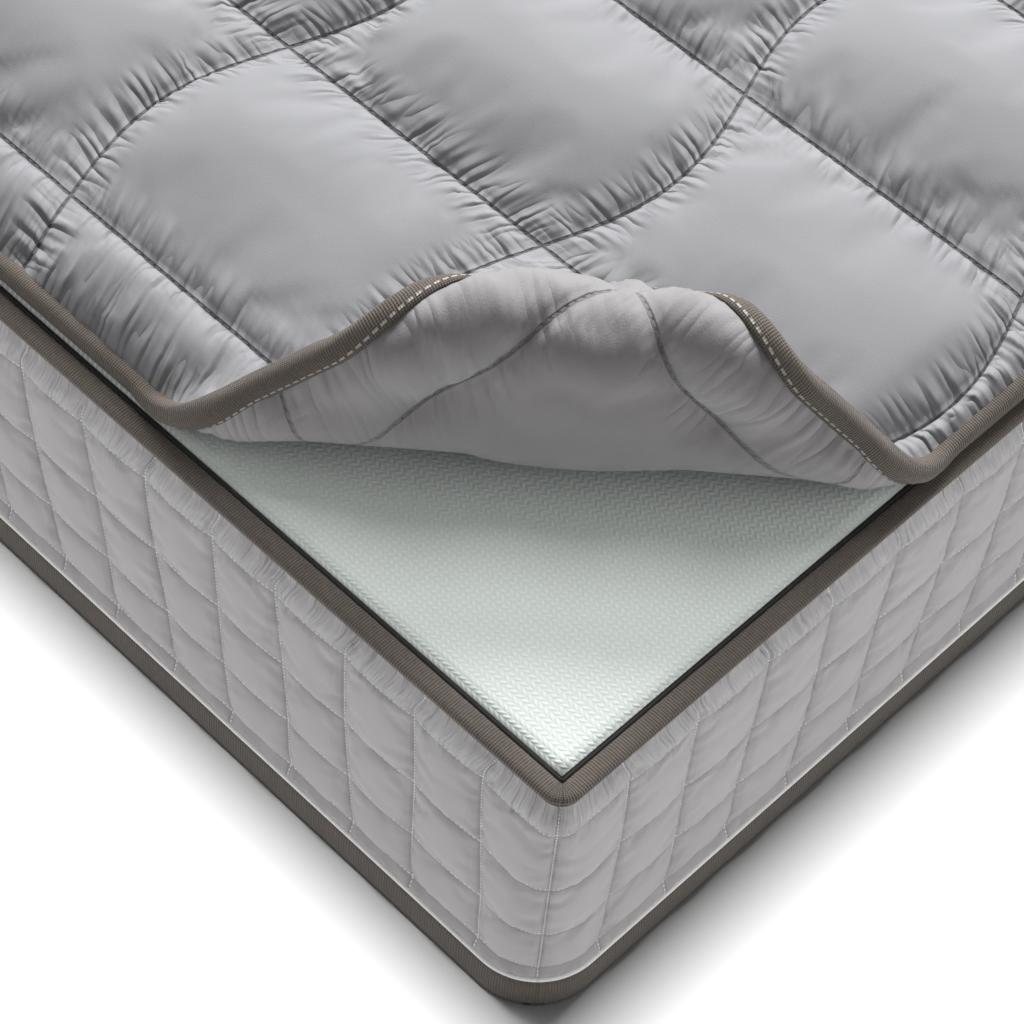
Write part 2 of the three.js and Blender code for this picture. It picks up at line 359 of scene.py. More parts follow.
def lay_out(mesh, points, cut_u, cut_v):
    """Moves the mesh's points into place and keeps where each lay on the cut cloth."""
    mesh.vertices.foreach_set("co", np.asarray(points, np.float32).ravel())
    corner = np.empty(len(mesh.loops), int)
    mesh.loops.foreach_get("vertex_index", corner)
    cut = mesh.uv_layers.new(name="cut")
    cut.data.foreach_set("uv", np.stack([cut_u[corner], cut_v[corner]], 1).astype(np.float32).ravel())
    mesh.update()


def sewn_on(name, mesh, material, replaced):
    """Turns a mesh into a piece that rides on the mattress."""
    bm = bmesh.new()
    bm.from_mesh(mesh)
    bmesh.ops.remove_doubles(bm, verts=bm.verts, dist=2e-5)
    for face in bm.faces:
        face.smooth = True
    bm.to_mesh(mesh)
    bm.free()
    mesh.materials.clear()
    mesh.materials.append(material)
    mesh.name = name
    piece = bpy.data.objects.new(name, mesh)
    scene.collection.objects.link(piece)
    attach(piece, "mattress")
    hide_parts(*replaced)
    return piece


def edging(turn, long_way, profile, radius):
    """A closed strip swept along one side; the profile is (out, height) all the way round."""
    t = steps_along(long_way, 0.012)
    loop = np.array([*profile, profile[0]])
    length = np.concatenate([[0.0], np.cumsum(np.hypot(*np.diff(loop, axis=0).T))])
    mesh, i, j = sheet_of_points(len(t), len(loop))
    x, y = round_the_side(turn, long_way, BODY_CENTRE, t[i], loop[j, 0], radius)
    lay_out(mesh, np.stack([leaned(x, loop[j, 1]), y, loop[j, 1]], 1), t[i], length[j])
    bm = bmesh.new()
    bm.from_mesh(mesh)
    bmesh.ops.remove_doubles(bm, verts=bm.verts, dist=1e-6)
    bmesh.ops.holes_fill(bm, edges=[e for e in bm.edges if e.is_boundary], sides=0)
    bmesh.ops.recalc_face_normals(bm, faces=bm.faces)
    bm.to_mesh(mesh)
    bm.free()
    return mesh


def ribbed_tape(name, low_tint, high_tint, rib, dash=0.0, dash_at=0.0, sheen=0.2):
    """Woven tape with ribs across it, and if dash is given a line of stitches along it."""
    tape = Fabric(name, roughness=0.85, sheen=sheen, specular=0.2)
    flat, along, across_it = tape.cloth_place()
    ribs = (along * (2 * math.pi / rib)).sine() * 0.5 + 0.5
    weft = (across_it * (2 * math.pi / 0.0011)).sine() * 0.5 + 0.5
    slub = flat.blotches(420.0, 3.0)
    wear = flat.blotches(28.0, 3.0)
    weave = ribs * 0.5 + weft * 0.35 + slub * 0.5
    # The ribs and the weft are lighter on top and darker in their grooves: painted shade; the slub and
    # wear blotches vary the tape's own tone at random.
    colour = (weave * 0.85 + wear * 0.3 - 0.12).tint(low_tint, high_tint)
    height = ribs * 0.00030 + weft * 0.00012 + slub * 0.00016
    if dash:
        line = abs(across_it - dash_at).under(0.0005, 0.0003)
        stitch = line * (along / dash).off_line().under(0.30, 0.06)
        colour = stitch.tint(colour, (0.42, 0.40, 0.375))
        height = height + stitch * 0.0004
    return tape.finish(colour, height)


band_tape = ribbed_tape("base_band_taupe", (0.060, 0.050, 0.042), (0.145, 0.125, 0.108), 0.0019)
band_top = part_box("base_band_foot")[1][2]
BAND = [
    (-0.0016, 0.0), (-0.0002, 0.0), (0.0006, 0.0007),
    (0.0003, 0.0022), (0.0009, 0.0032), (0.0015, 0.009),
    (0.0016, 0.016), (0.0011, 0.023), (0.0003, band_top - 0.0006), (-0.0006, band_top),
    (-0.0018, band_top - 0.002), (-0.0018, 0.002),
]
BASE_RADIUS = 0.038
for side, turn, long_way in SIDES:
    mesh = edging(turn, long_way, BAND, BASE_RADIUS)
    sewn_on("woven_base_band_" + side, mesh, band_tape, ["base_band_" + side])


# The piping: a white cord in a strip of smooth cloth, sewn between the base band and the border.
cord_white = Fabric("piping_white", roughness=0.6, sheen=0.2)
cord_flat, cord_along, _ = cord_white.cloth_place()
cord_weave = (cord_along * 3500.0).sine() * 0.5 + 0.5
piping_white = cord_white.finish(
    cord_flat.blotches(60.0).tint((0.80, 0.80, 0.78), (0.90, 0.90, 0.89)), cord_weave, 0.0001
)
piping_low, piping_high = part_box("piping_foot")[0][2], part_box("piping_foot")[1][2]
cord_middle, cord_radius = (piping_low + piping_high) / 2, (piping_high - piping_low) / 2
CORD = [
    (cord_radius * math.cos(a) - 0.0002, cord_middle - 0.0003 + cord_radius * math.sin(a))
    for a in np.linspace(-math.pi, math.pi, 13)[:-1]
]
for side, turn, long_way in SIDES:
    mesh = edging(turn, long_way, CORD, BASE_RADIUS)
    sewn_on("cord_piping_" + side, mesh, piping_white, ["piping_" + side])


# The border: satin microfibre laid on wadding and quilted through with white thread in a grid of
# columns 47 mm wide. The stitches pull the cloth in and leave it full between them. One panel for
# each side, gathered into the top tape and joined to the next panel by a seam down each corner.
def sewn_cloth(columns, rows, lay, sewn, slack, pressure, frames):
    """Cloth with some slack, sewn down along its seams and blown up from behind: each point's move."""
    mesh, i, j = sheet_of_points(len(columns), len(rows))
    x, y = lay(columns[i], rows[j])
    start = np.stack([x, y, np.random.default_rng(7).random(len(x)) * 2e-4], 1)
    held = sewn(i, j)
    start[held, 2] = 0.0
    mesh.vertices.foreach_set("co", start.astype(np.float32).ravel())
    sheet = bpy.data.objects.new("sewing_trial", mesh)
    scene.collection.objects.link(sheet)
    pins = sheet.vertex_groups.new(name="sewn")
    pins.add(np.nonzero(held)[0].tolist(), 1.0, "REPLACE")
    cloth = sheet.modifiers.new("cloth", "CLOTH")
    rules = cloth.settings
    rules.quality = 5
    rules.mass = 0.2
    rules.tension_stiffness = 20
    rules.compression_stiffness = 20
    rules.shear_stiffness = 5
    rules.bending_stiffness = 0.03
    rules.tension_damping = 10
    rules.compression_damping = 10
    rules.shear_damping = 5
    rules.air_damping = 2
    rules.use_pressure = True
    rules.uniform_pressure_force = pressure
    rules.vertex_group_mass = "sewn"
    rules.shrink_min = -slack
    rules.effector_weights.gravity = 0.0
    cloth.collision_settings.use_collision = False
    cloth.point_cache.frame_start = 1
    cloth.point_cache.frame_end = frames
    for number in range(1, frames + 1):
        scene.frame_set(number)
    blown = sheet.evaluated_get(bpy.context.evaluated_depsgraph_get()).data
    co = np.empty(len(x) * 3)
    blown.vertices.foreach_get("co", co)
    moves = np.zeros((len(columns), len(rows), 3))
    moves[i, j] = co.reshape(-1, 3) - start
    moves[i[held], j[held]] = 0.0
    bpy.data.objects.remove(sheet)
    bpy.data.meshes.remove(mesh)
    scene.frame_set(1)
    return moves


def pick(moves, columns, rows, c, r):
    """The moves at any place on the cloth, between the points of the trial piece."""
    u = np.interp(c, columns, np.arange(len(columns)))
    v = np.interp(r, rows, np.arange(len(rows)))
    i = np.clip(u.astype(int), 0, len(columns) - 2)
    j = np.clip(v.astype(int), 0, len(rows) - 2)
    a, b = (u - i)[:, None], (v - j)[:, None]
    return (
        moves[i, j] * (1 - a) * (1 - b) + moves[i + 1, j] * a * (1 - b)
        + moves[i, j + 1] * (1 - a) * b + moves[i + 1, j + 1] * a * b
    )


def soft_step(value, start, stop):
    t = np.clip((value - start) / (stop - start), 0.0, 1.0)
    return t * t * (3 - 2 * t)


COLUMN = 0.047
CORNER_COLUMN = 0.048
QUILT_ROWS = (0.042, 0.088, 0.140, 0.200)
border_low = piping_high - 0.0012
border_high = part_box("border_cloth_foot")[1][2] - 0.001
ROW_STEPS = (4, 15, 17, 20, 14)
edges_up = (border_low, *QUILT_ROWS, border_high)
row_places = [np.linspace(a, b, n + 1)[:-1] for a, b, n in zip(edges_up, edges_up[1:], ROW_STEPS)]
heights = np.concatenate([*row_places, [border_high]])
TRIAL_COLUMNS = 10
STEPS = 16
trial_along = np.linspace(0.0, TRIAL_COLUMNS * COLUMN, TRIAL_COLUMNS * STEPS + 1)
sewn_rows = {0, len(heights) - 1} | {int(np.argmin(np.abs(heights - h))) for h in QUILT_ROWS}
border_moves = sewn_cloth(
    trial_along, heights, lambda c, r: (c, r),
    lambda i, j: (i % STEPS == 0) | np.isin(j, list(sewn_rows)), 0.05, 14.0, 14,
)

border = Fabric("border_cloth_silver", roughness=0.62, sheen=0.35, specular=0.35, sheen_roughness=0.35)
border_flat, border_along, border_across = border.cloth_place()
to_column = (border_along / COLUMN).off_line() * COLUMN
dash_up = (border_across / 0.0029).off_line().under(0.33, 0.05)
dash_along = (border_along / 0.0029).off_line().under(0.33, 0.05)
stitches = abs(to_column).under(0.00032, 0.0003) * dash_up
crease = abs(to_column).under(0.0002, 0.0022)
for row in QUILT_ROWS:
    to_row = abs(border_across - row)
    stitches = stitches.worked_out("MAXIMUM", stitches, to_row.under(0.00032, 0.0003) * dash_along)
    crease = crease.worked_out("MAXIMUM", crease, to_row.under(0.0002, 0.0022) * 0.6)
fine = border_flat.blotches(1400.0, 3.0)
cast = border_flat.blotches(14.0, 2.0)
gathers = border_flat.blotches(1.0, 2.0, (210.0, 9.0, 1.0))
at_tape = 1.0 - border_across.under(0.186, 0.034)
drawn = border_flat.blotches(1.0, 2.0, (120.0, 14.0, 1.0))
at_column = abs(to_column).under(0.002, 0.016)
border_tone = (fine * 0.35 + cast * 0.5).tint((0.345, 0.332, 0.338), (0.448, 0.434, 0.441))
# Painted shade: the border's colour darkens along the quilting creases, where shade falls in the seams;
# the same crease mask also makes the groove in the bump.
border_tone = (crease * 0.35).tint(border_tone, (0.20, 0.19, 0.20))
border_height = fine * 0.00018 + stitches * 0.0005 - crease * 0.0006
border_height = border_height + gathers * at_tape * 0.0065 + drawn * at_column * 0.0012
border_silver = border.finish(stitches.tint(border_tone, (0.78, 0.78, 0.77)), border_height)

TOP_RADIUS = 0.009
for side, turn, long_way in SIDES:
    half = HALF[long_way][0]
    count = int(round((2 * half - 2 * CORNER_COLUMN) / COLUMN))
    width = (2 * half - 2 * CORNER_COLUMN) / count
    lines = np.concatenate([[-half], -half + CORNER_COLUMN + width * np.arange(count + 1), [half]])
    number = np.arange((len(lines) - 1) * STEPS + 1) / STEPS
    t_line = np.interp(number, np.arange(len(lines)), lines)
    mesh, i, j = sheet_of_points(len(number), len(heights))
    where, h = number[i], heights[j]
    moved = pick(border_moves, trial_along, heights, (where % TRIAL_COLUMNS) * COLUMN, h)
    part = where % 1.0
    full = 1.0 - (2 * part - 1.0) ** 2
    rise = soft_step(h, border_low, border_low + 0.03)
    rise = rise * (1 - 0.75 * soft_step(h, border_high - 0.035, border_high - 0.004))
    seed = where * 2.13 + long_way * 5.0
    towards = 1.0 if side in ("foot", "head") else -1.0
    from_near = half - t_line[i] * towards
    drag = 0.004 + 0.013 * soft_step(from_near, 0.05, 0.55) * (1.0 if side == "foot" else 0.5)
    lean = towards * (0.0075 * soft_step(h, 0.202, 0.228) + drag * (1 - soft_step(h, 0.02, 0.21)))
    lean = lean * np.clip((half - np.abs(t_line[i])) / 0.06, 0, 1)
    seam = np.floor(where)
    wander = [0.0012 * np.sin(h * 31.0 + number * 2.4 + long_way) for number in (seam, seam + 1)]
    lean = lean + wander[0] * (1 - part) + wander[1] * part
    gather = np.sin(where * 6 * math.pi + 1.3 * np.sin(seed))
    gather = gather * soft_step(h, border_high - 0.040, border_high - 0.012)
    at_end = np.clip((half - np.abs(t_line[i])) / 0.004, 0, 1)
    puff = 0.0030 * np.clip(moved[:, 2] / 0.0055, 0.0, 1.0) ** 0.6
    recess = 0.0002 - 0.0036 * soft_step(h, border_low + 0.001, border_low + 0.013)
    out = recess + puff + 0.0019 * full ** 0.6 * rise + 0.0012 * gather + 0.0018 * rise
    out += 0.0018 * (1 - soft_step(half - np.abs(t_line[i]), 0.0, 0.016)) * rise
    t = t_line[i] + (moved[:, 0] + lean) * at_end
    radius = BASE_RADIUS + (TOP_RADIUS - BASE_RADIUS) * (h - border_low) / (border_high - border_low)
    x, y = round_the_side(turn, long_way, BODY_CENTRE, np.clip(t, -half, half), out, radius)
    lay_out(mesh, np.stack([leaned(x, h), y, h + moved[:, 1]], 1), where * COLUMN, h)
    bm = bmesh.new()
    bm.from_mesh(mesh)
    bmesh.ops.recalc_face_normals(bm, faces=bm.faces)
    bm.faces.ensure_lookup_table()
    outward = Vector((math.sin(turn), -math.cos(turn), 0.0))
    face_middle = Vector((HALF_WIDTH * outward.x, HALF_LENGTH * outward.y, 0.1))
    middle_face = min(bm.faces, key=lambda f: (f.calc_center_median() - face_middle).length)
    if middle_face.normal.dot(outward) < 0:
        bmesh.ops.reverse_faces(bm, faces=bm.faces)
    bm.to_mesh(mesh)
    bm.free()
    panel = sewn_on("quilted_border_" + side, mesh, border_silver,
        ["border_cloth_" + side, "border_wadding_" + side])


# The knit top panel: a thick three-dimensional knit, pale mint, with short ridges that slant one way
# and then the other. It is stretched over the memory foam and sewn under the top tape.
knit_low, knit_high = (Vector(v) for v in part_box("knit_top_panel"))
knit = Fabric("knit_mint", roughness=0.85, sheen=0.35, specular=0.2)
knit_x = knit.place.node("ShaderNodeSeparateXYZ", {}, {0: knit.place}, 0)
knit_y = Strand(knit_x.socket.node.outputs[1])
KNIT_ROW = 0.0029
drift = knit.place.blotches(40.0, 2.0) * 0.0007
row_number = (knit_y + drift) / KNIT_ROW
row_way = row_number.worked_out("FLOOR", row_number)
row_part = row_number - row_way
slant = (row_way * 0.5).off_line() * 4.0 - 1.0
ridge_place = knit_x / 0.0036 + row_part * slant * 0.62 + row_way * 0.5
ridge = (ridge_place * (2 * math.pi)).sine() * 0.5 + 0.5
row_shape = (row_part * math.pi).sine()
loops = ridge * row_shape
yarn = knit.place.blotches(1500.0, 2.0)
# The ridges are lighter and the grooves between them and between the rows darker: painted shade; the
# yarn blotches are the knit's own uneven tone.
knit_tone = (loops * 0.85 + yarn * 0.2).tint((0.79, 0.875, 0.825), (0.95, 0.975, 0.955))
knit_mint = knit.finish(knit_tone, loops * 0.00034 + yarn * 0.0002)

step_x = np.linspace(knit_low.x, knit_high.x, 200)
step_y = np.linspace(knit_low.y, knit_high.y, 260)
mesh, i, j = sheet_of_points(len(step_x), len(step_y))
x, y = step_x[i].copy(), step_y[j].copy()
edge = np.minimum.reduce([x - knit_low.x, knit_high.x - x, y - knit_low.y, knit_high.y - y])
z = knit_high.z - 0.0002 - 0.0008 * np.exp(-edge / 0.006)
z -= 0.0005 * (1 + np.sin(x * 23 + 2 * np.sin(y * 7))) * (1 + np.sin(y * 19 + 1.7 * np.sin(x * 9))) / 4
lay_out(mesh, np.stack([leaned(x, z), y, z], 1), x, y)
bm = bmesh.new()
bm.from_mesh(mesh)
rim = bmesh.ops.extrude_edge_only(bm, edges=[e for e in bm.edges if e.is_boundary])
skirt = [v for v in rim["geom"] if isinstance(v, bmesh.types.BMVert)]
for vert in skirt:
    vert.co.z = knit_low.z + 0.0002
bmesh.ops.holes_fill(bm, edges=[e for e in bm.edges if e.is_boundary], sides=0)
bmesh.ops.recalc_face_normals(bm, faces=bm.faces)
bm.to_mesh(mesh)
bm.free()
knit_panel = sewn_on("knit_panel", mesh, knit_mint, ["knit_top_panel"])


# The top edge tape: ribbed taupe tape folded over the raw edges of the border and the knit, and
# sewn down with a groove along its lower flange. A narrow, nearly black strip lies beside it on the
# knit.
edge_tape = ribbed_tape("edge_tape_taupe", (0.040, 0.032, 0.026), (0.215, 0.185, 0.160), 0.0015)
tape_low, tape_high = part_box("edge_tape_foot")[0][2] + 0.0022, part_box("edge_tape_foot")[1][2]
FOLDED = [
    (-0.0008, tape_low), (0.0006, tape_low + 0.0002),
    (0.0014, tape_low + 0.0016), (0.0012, tape_low + 0.0030),
    (-0.0004, tape_low + 0.0036), (0.0011, tape_low + 0.0044), (0.0026, tape_low + 0.0056),
    (0.0028, tape_low + 0.0070), (0.0017, tape_low + 0.0085), (-0.0008, tape_high - 0.0001),
    (-0.0042, tape_high), (-0.0068, tape_high - 0.0005), (-0.0079, tape_high - 0.0015),
    (-0.0050, tape_high - 0.0022), (-0.0014, tape_high - 0.0030), (-0.0010, tape_low + 0.0060),
]
for side, turn, long_way in SIDES:
    mesh = edging(turn, long_way, FOLDED, TOP_RADIUS)
    sewn_on("folded_edge_tape_" + side, mesh, edge_tape, ["edge_tape_" + side])

dark_strip = Fabric("inner_strip_black", roughness=0.85, sheen=0.2)
black_weave = dark_strip.place.blotches(1600.0, 2.0)
black_tone = black_weave.tint((0.010, 0.009, 0.009), (0.045, 0.042, 0.040))
black = dark_strip.finish(black_tone, black_weave, 0.0004)
inner_out = -(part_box("inner_tape_foot")[0][1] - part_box("edge_tape_foot")[0][1] - 0.0015)
NARROW = [
    (inner_out + 0.0004, tape_high - 0.0012), (inner_out + 0.0002, tape_high - 0.0005),
    (inner_out - 0.0006, tape_high - 0.0003), (inner_out - 0.0012, tape_high - 0.0006),
    (inner_out - 0.0015, tape_high - 0.0018), (inner_out - 0.0006, tape_high - 0.0020),
]
for side, turn, long_way in SIDES:
    mesh = edging(turn, long_way, NARROW, TOP_RADIUS)
    sewn_on("narrow_dark_strip_" + side, mesh, black, ["inner_tape_" + side])


# The topper: a pad of soft fill between two microfibre cloths, quilted through in cells of 145 by
# 185 mm, with one set of seams straight and the other waved. The cloth stands full between the seams
# and puckers along them. The pad lies loose on the mattress with its near corner turned back.
TOPPER_CENTRE = (
    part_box("topper_binding_left")[0][0] + HALF_WIDTH,
    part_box("topper_binding_head")[1][1] - HALF_LENGTH,
)
PAD_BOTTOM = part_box("topper_binding_foot")[0][2]
PAD_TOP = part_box("topper_top_cloth")[1][2]
MIDDLE = (PAD_BOTTOM + PAD_TOP) / 2
HALF_PAD = (PAD_TOP - PAD_BOTTOM) / 2
CELL_A, CELL_B = 0.185, 0.1455
FIRST_A, FIRST_B = 0.034, 0.052
WAVE = 0.017
CORNER = Vector((HALF_WIDTH + TOPPER_CENTRE[0], -HALF_LENGTH + TOPPER_CENTRE[1]))
WIDE, LONG = 2 * HALF_WIDTH, 2 * HALF_LENGTH
CELLS_A, CELLS_B, TRIAL_CELLS = 7, 13, 3
PAD_RADIUS = 0.032


def seam_steps(first, cell, cells, total, close, loose, margin, last):
    """Places across the pad that fall on every seam, closer together in the first three cells."""
    made = [np.linspace(0.0, first, margin + 1)]
    for number in range(cells):
        start = first + number * cell
        steps = close if number < TRIAL_CELLS else loose
        made.append(np.linspace(start, start + cell, steps + 1)[1:])
    if total > first + cells * cell + 1e-6:
        made.append(np.linspace(first + cells * cell, total, last + 1)[1:])
    return np.concatenate(made)


CLOSE_A, CLOSE_B, MARGIN_A, MARGIN_B = 46, 38, 9, 14
trial_a = seam_steps(FIRST_A, CELL_A, TRIAL_CELLS, 0.0, CLOSE_A, CLOSE_A, MARGIN_A, 0)
trial_b = seam_steps(FIRST_B, CELL_B, TRIAL_CELLS, 0.0, CLOSE_B, CLOSE_B, MARGIN_B, 0)


def waved(a, b, total=None):
    """Place across the pad, from its edge, of a column that follows the waved seams."""
    fade = np.clip(a / FIRST_A, 0, 1)
    if total:
        fade = fade * np.clip((total - a) / 0.05, 0, 1)
    return a + fade * WAVE * np.sin(math.pi * (b - FIRST_B) / CELL_B)


def on_seam(i, j):
    seams_a = [0, *(MARGIN_A + k * CLOSE_A for k in range(TRIAL_CELLS + 1))]
    seams_b = [0, *(MARGIN_B + k * CLOSE_B for k in range(TRIAL_CELLS + 1))]
    return np.isin(i, seams_a) | np.isin(j, seams_b)


pad_moves = sewn_cloth(trial_a, trial_b, lambda c, r: (waved(c, r), r), on_seam, 0.045, 6.0, 17)

columns = seam_steps(FIRST_A, CELL_A, CELLS_A, WIDE, CLOSE_A, 24, MARGIN_A, 22)
rows = seam_steps(FIRST_B, CELL_B, CELLS_B, LONG, CLOSE_B, 19, MARGIN_B, 8)


def trial_column(c):
    """The column of the trial piece that a column of the whole pad repeats."""
    number = np.floor((c - FIRST_A) / CELL_A + 1e-9)
    part = (c - FIRST_A) / CELL_A - number
    end = FIRST_A + CELLS_A * CELL_A
    last = c > end
    part = np.where(last, (c - end) / (WIDE - end), part)
    number = np.where(last, 1, np.where(number >= TRIAL_CELLS, 1 + (number % 2), number))
    return np.where(c < FIRST_A, c, FIRST_A + (number + np.clip(part, 0, 1)) * CELL_A)


def trial_row(r):
    number = np.floor((r - FIRST_B) / CELL_B + 1e-9)
    part = (r - FIRST_B) / CELL_B - number
    number = np.where(number >= TRIAL_CELLS, 1 + ((number - 1) % 2), number)
    end = FIRST_B + CELLS_B * CELL_B
    beyond = r > end + 1e-9
    return np.where(
        r < FIRST_B, r,
        np.where(beyond, FIRST_B * (1 - (r - end) / (LONG - end)), FIRST_B + (number + part) * CELL_B),
    )


# the two bends of the turned corner, on the middle of the pad
REACH_X, REACH_Y = 0.300, 0.258
LOW_RADIUS, STRAIGHT, HIGH_RADIUS, HIGH_TURN = 0.028, 0.036, 0.020, math.radians(140.0)
reach = math.hypot(REACH_X, REACH_Y)
P0 = REACH_X * REACH_Y / reach
ACROSS = Vector((-REACH_Y / reach, REACH_X / reach))
ALONG = Vector((REACH_X / reach, REACH_Y / reach))
S1 = LOW_RADIUS * math.pi / 2
S2 = S1 + STRAIGHT
S3 = S2 + HIGH_RADIUS * HIGH_TURN


def from_corner(x, y):
    p = (x - CORNER.x) * ACROSS.x + (y - CORNER.y) * ACROSS.y
    q = (x - CORNER.x) * ALONG.x + (y - CORNER.y) * ALONG.y
    return p, q


def turned_back(x, y, h):
    """Where a point of the flat pad, h above its middle, lies when the corner is turned back."""
    p, q = from_corner(x, y)
    s = P0 - p
    stretch = [s < 0, s < S1, s < S2]
    upright = math.pi / 2
    phi = np.select(
        stretch, [0.0, s / LOW_RADIUS, upright], upright + np.minimum(s - S2, S3 - S2) / HIGH_RADIUS
    )
    high_p, high_z = P0 - LOW_RADIUS + HIGH_RADIUS, LOW_RADIUS + STRAIGHT
    lean = phi - upright
    mid_p = np.select(
        stretch,
        [p, P0 - LOW_RADIUS * np.sin(phi), P0 - LOW_RADIUS],
        high_p - HIGH_RADIUS * np.cos(lean),
    )
    mid_z = np.select(
        stretch,
        [0.0, LOW_RADIUS * (1 - np.cos(phi)), LOW_RADIUS + (s - S1)],
        high_z + HIGH_RADIUS * np.sin(lean),
    )
    beyond = np.maximum(s - S3, 0.0)
    mid_p = mid_p - np.cos(phi) * beyond
    mid_z = mid_z + np.sin(phi) * beyond
    at_p = mid_p + np.sin(phi) * h
    at_z = mid_z + np.cos(phi) * h
    return np.stack([
        CORNER.x + ACROSS.x * at_p + ALONG.x * q,
        CORNER.y + ACROSS.y * at_p + ALONG.y * q,
        MIDDLE + at_z,
    ], 1)


def edge_sink(edge, s):
    """How far the pad's middle sinks to its bound edge; less where the corner is in the air."""
    return -0.011 * (1 - soft_step(edge, 0.0, 0.045)) * (1 - 1.15 * soft_step(s, 0.0, 0.05))


def rounded(a, b):
    """Rounds the pad's four square corners."""
    for flip_a, flip_b in ((0, 0), (1, 0), (0, 1), (1, 1)):
        da = WIDE - a if flip_a else a
        db = LONG - b if flip_b else b
        u, v = 1 - da / PAD_RADIUS, 1 - db / PAD_RADIUS
        inside = (u > 0) & (v > 0)
        scale = np.where(inside, np.maximum(u, v) / np.maximum(np.hypot(u, v), 1e-9), 1.0)
        da = np.where(inside, PAD_RADIUS * (1 - u * scale), da)
        db = np.where(inside, PAD_RADIUS * (1 - v * scale), db)
        a = WIDE - da if flip_a else da
        b = LONG - db if flip_b else db
    return a, b


def cut_at_riser(
    name, mesh, s_point, material, replaced_low, replaced_high, flat_points, final_points
):
    """Splits a piece of the pad half way up the riser into a low half and a high half."""
    mesh.vertices.foreach_set("co", final_points.astype(np.float32).ravel())
    mesh.update()
    normals = np.empty(len(mesh.vertices) * 3)
    mesh.vertices.foreach_get("normal", normals)
    normals = normals.reshape(-1, 3)
    mesh.vertices.foreach_set("co", flat_points.astype(np.float32).ravel())
    made = []
    split = (S1 + S2) / 2
    for part, first_body, second_body, s_start, s_stop, replaced in (
        ("low", "topper", "flap_riser", 0.0, S1, replaced_low),
        ("high", "flap_riser", "flap_tip", S2, S3, replaced_high),
    ):
        half_mesh = mesh.copy()
        bm = bmesh.new()
        bm.from_mesh(half_mesh)
        number = bm.verts.layers.int.new("number")
        bm.verts.ensure_lookup_table()
        for k, vert in enumerate(bm.verts):
            vert[number] = k
        gone = []
        for face in bm.faces:
            face.smooth = True
            mean = sum(s_point[v[number]] for v in face.verts) / len(face.verts)
            if (mean > split) == (part == "low"):
                gone.append(face)
        bmesh.ops.delete(bm, geom=gone, context="FACES")
        kept = np.array([v[number] for v in bm.verts])
        bm.verts.layers.int.remove(number)
        bm.to_mesh(half_mesh)
        bm.free()
        half_mesh.materials.clear()
        half_mesh.materials.append(material)
        half_mesh.name = name + "_" + part
        piece = bpy.data.objects.new(name + "_" + part, half_mesh)
        scene.collection.objects.link(piece)
        start = [*(CORNER + ACROSS * (P0 - s_start)), MIDDLE]
        stop = [*(CORNER + ACROSS * (P0 - s_stop)), MIDDLE]
        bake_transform(piece)
        half_mesh.vertices.foreach_set("co", final_points[kept].astype(np.float32).ravel())
        half_mesh.update()
        half_mesh.normals_split_custom_set_from_vertices(normals[kept])
        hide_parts(*replaced)
        made.append(piece)
    bpy.data.meshes.remove(mesh)
    return made


def seam_marks(fabric):
    """Masks for the quilting seams: the crease (a groove in the bump and painted shade in the colour),
    the thread in it, and the puckers beside it.
    """
    flat, a, b = fabric.cloth_place()
    to_b = ((b - FIRST_B) / CELL_B).off_line() * CELL_B
    to_a = ((a - FIRST_A) / CELL_A).off_line() * CELL_A
    near = to_a.worked_out("MINIMUM", to_a, to_b)
    crease_shade_mask = near.under(0.0002, 0.0013)
    on_thread = near.under(0.00045, 0.0003)
    dashes = ((a + b) / 0.0046).off_line().under(0.30, 0.06)
    beside_a, beside_b = to_a.under(0.002, 0.022), to_b.under(0.002, 0.024)
    fold_b = abs(flat.blotches(1.0, 1.0, (95.0, 17.0, 1.0)) * 2.0 - 1.0)
    fold_a = abs(flat.blotches(1.0, 1.0, (17.0, 95.0, 1.0)) * 2.0 - 1.0)
    puckers_b = fold_b * beside_b * (1.0 - to_a.under(0.001, 0.016))
    puckers_a = fold_a * beside_a * (1.0 - to_b.under(0.001, 0.016))
    at_edge = b.under(0.010, 0.030) + (1.0 - b.under(LONG - 0.045, 0.030))
    at_side = a.under(0.010, 0.022) + (1.0 - a.under(WIDE - 0.040, 0.022))
    bound = fold_b * at_edge + fold_a * at_side
    return flat, crease_shade_mask, on_thread * dashes, puckers_a + puckers_b + bound * 1.3


top_cloth = Fabric("topper_cloth_silver", roughness=0.72, sheen=0.2, specular=0.22, sheen_roughness=0.4)
flat, top_crease_shade, top_thread, top_puckers = seam_marks(top_cloth)
weave = flat.blotches(1800.0, 2.0)
cast = flat.blotches(9.0, 2.0)
tone = (weave * 0.3 + cast * 0.5).tint((0.318, 0.320, 0.336), (0.432, 0.432, 0.448))
# Painted shade: the top cloth turns nearly black in the seam creases, where shade falls; the same mask
# also sinks the bump there.
tone = (top_crease_shade * 0.75).tint(tone, (0.085, 0.085, 0.095))
top_height = weave * 0.00016 + top_thread * 0.0004 - top_crease_shade * 0.0010 + top_puckers * 0.0062
topper_silver = top_cloth.finish(top_thread.tint(tone, (0.15, 0.15, 0.16)), top_height)

under_cloth = Fabric(
    "topper_under_lilac", roughness=0.75, sheen=0.45, specular=0.25, sheen_roughness=0.5
)
flat, under_crease_shade, under_thread, under_puckers = seam_marks(under_cloth)
nap = flat.blotches(1300.0, 3.0)
cast = flat.blotches(12.0, 2.0)
tone = (nap * 0.5 + cast * 0.35).tint((0.315, 0.300, 0.308), (0.465, 0.446, 0.456))
# Painted shade: the under cloth darkens in the seam creases, where shade falls; the same mask also
# sinks the bump there.
tone = (under_crease_shade * 0.5).tint(tone, (0.09, 0.085, 0.09))
under_height = nap * 0.00022 + under_thread * 0.0005 - under_crease_shade * 0.0010 + under_puckers * 0.0022
under_lilac = under_cloth.finish(under_thread.tint(tone, (0.27, 0.26, 0.265)), under_height)

